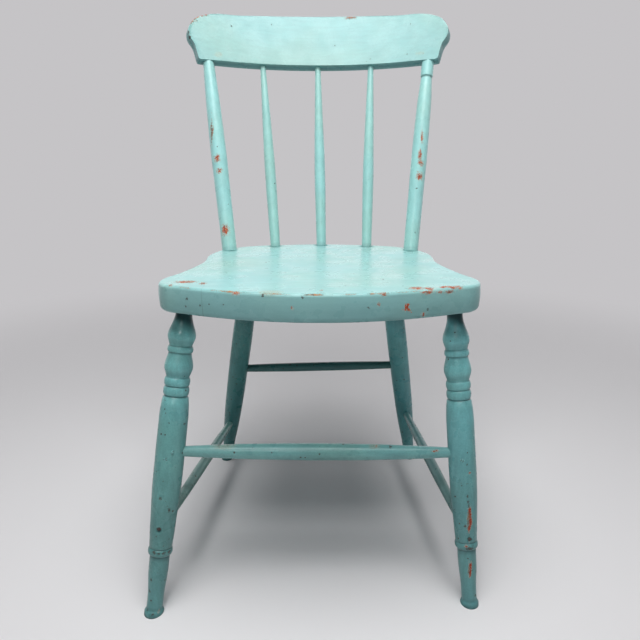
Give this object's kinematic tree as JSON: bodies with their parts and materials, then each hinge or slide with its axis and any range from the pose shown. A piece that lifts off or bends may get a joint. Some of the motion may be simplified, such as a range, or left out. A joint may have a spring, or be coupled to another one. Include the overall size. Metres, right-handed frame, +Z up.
{
  "type": "side chair",
  "caption": "Old painted kitchen side chair: plank seat with a bowed front, ring-turned splayed legs, stretchers and a spindle back under a curved crest rail.",
  "frame": {"origin": "middle of the chair's extent left to right and front to back, on the floor", "axes": "+Z up; the chair faces -Y, so +Y is towards the back; +X is to the right as seen from the front"},
  "size_m": [0.4609, 0.5289, 0.8348],
  "materials": {
    "seat_paint": "aged gloss turquoise paint over orange-red undercoat, chipped along the front edge",
    "crest_paint": "aged gloss turquoise paint, worn to the undercoat at one corner",
    "back_post_left_paint": "aged gloss turquoise paint over orange-red undercoat, flaked in small chips",
    "back_post_right_paint": "aged gloss turquoise paint over orange-red undercoat, flaked in small chips",
    "spindle_left_paint": "aged gloss turquoise paint over orange-red undercoat, flaked in small chips",
    "spindle_centre_paint": "aged gloss turquoise paint over orange-red undercoat, flaked in small chips",
    "spindle_right_paint": "aged gloss turquoise paint over orange-red undercoat, flaked in small chips",
    "front_leg_left_paint": "aged gloss turquoise paint over orange-red undercoat, chipped and dirty in the grooves",
    "front_leg_right_paint": "aged gloss turquoise paint over orange-red undercoat, chipped and dirty in the grooves",
    "rear_leg_left_paint": "aged gloss turquoise paint over orange-red undercoat, chipped and dirty in the grooves",
    "rear_leg_right_paint": "aged gloss turquoise paint over orange-red undercoat, chipped and dirty in the grooves",
    "front_stretcher_paint": "aged gloss turquoise paint over orange-red undercoat, chipped and dirty in the grooves",
    "rear_stretcher_paint": "aged gloss turquoise paint over orange-red undercoat, chipped and dirty in the grooves",
    "side_stretcher_left_paint": "aged gloss turquoise paint over orange-red undercoat, chipped and dirty in the grooves",
    "side_stretcher_right_paint": "aged gloss turquoise paint over orange-red undercoat, chipped and dirty in the grooves",
    "nail_1_steel": "dull wire nail, partly painted over",
    "nail_2_steel": "dull wire nail, partly painted over",
    "nail_3_steel": "dull wire nail, partly painted over",
    "nail_4_steel": "dull wire nail, partly painted over",
    "nail_5_steel": "dull wire nail, partly painted over"
  },
  "bodies": {
    "root": {"seat": "seat_paint", "crest_rail": "crest_paint", "back_post_left": "back_post_left_paint", "back_post_right": "back_post_right_paint", "spindle_left": "spindle_left_paint", "spindle_centre": "spindle_centre_paint", "spindle_right": "spindle_right_paint", "front_leg_left": "front_leg_left_paint", "front_leg_right": "front_leg_right_paint", "rear_leg_left": "rear_leg_left_paint", "rear_leg_right": "rear_leg_right_paint", "front_stretcher": "front_stretcher_paint", "rear_stretcher": "rear_stretcher_paint", "side_stretcher_left": "side_stretcher_left_paint", "side_stretcher_right": "side_stretcher_right_paint", "nail_1": "nail_1_steel", "nail_2": "nail_2_steel", "nail_3": "nail_3_steel", "nail_4": "nail_4_steel", "nail_5": "nail_5_steel"}
  },
  "joints": []
}
